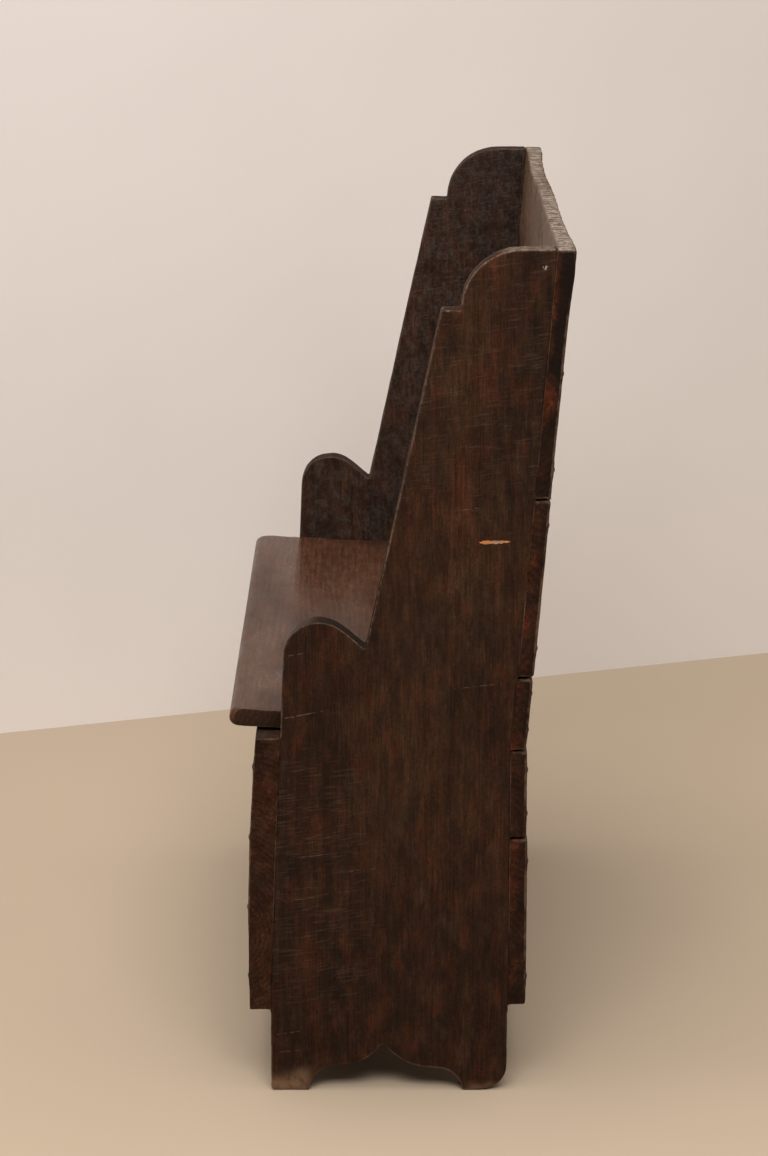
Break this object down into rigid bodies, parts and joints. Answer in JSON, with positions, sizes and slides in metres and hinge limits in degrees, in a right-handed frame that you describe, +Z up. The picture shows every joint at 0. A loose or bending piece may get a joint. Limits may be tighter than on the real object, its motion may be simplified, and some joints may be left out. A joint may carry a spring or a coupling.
{
  "type": "hall bench",
  "caption": "Plank-built hall bench with shaped end boards, a leaning boarded back and a hinged seat lid over a storage box.",
  "frame": {"origin": "on the floor under the middle of the bench's width and depth", "axes": "+X along the bench, +Y towards the back, +Z up; the front faces -Y"},
  "size_m": [0.9, 0.3913, 1],
  "materials": {
    "end_wood": "waxed, worn at the arrises",
    "board_wood": "waxed outside, rough-sawn at the top edge",
    "seat_wood": "polished by use",
    "inner_wood": "bare, dusty",
    "iron": "forged, browned"
  },
  "bodies": {
    "carcase": {"end_board_left": "end_wood", "end_board_right": "end_wood", "front_panel": "board_wood", "back_board_1": "board_wood", "back_board_2": "board_wood", "back_board_3": "board_wood", "back_board_4": "board_wood", "back_board_5": "board_wood", "seat_rear_rail": "seat_wood", "seat_bearer_left": "inner_wood", "seat_bearer_right": "inner_wood", "floor_cleat_left": "inner_wood", "floor_cleat_right": "inner_wood", "box_floor_front": "inner_wood", "box_floor_rear": "inner_wood", "hinge_left_rail_leaf": "iron", "hinge_left_pin": "iron", "hinge_right_rail_leaf": "iron", "hinge_right_pin": "iron", "hinge_rail_screws": "iron", "front_panel_nails": "iron", "back_board_nails": "iron", "seat_bearer_nails": "iron", "floor_cleat_nails": "iron", "box_floor_nails": "iron", "seat_rail_nails": "iron"},
    "lid": {"seat_lid": "seat_wood", "lid_batten_left": "inner_wood", "lid_batten_right": "inner_wood", "lid_batten_nails": "iron", "hinge_left_lid_leaf": "iron", "hinge_right_lid_leaf": "iron", "hinge_lid_screws": "iron"}
  },
  "joints": [
    {"name": "seat_lid_hinge", "type": "hinge", "parent": "carcase", "child": "lid", "pos_m": [0, 0.08472, 0.4518], "axis": [-1, 0, 0], "range_deg": [0, 102.4]}
  ]
}
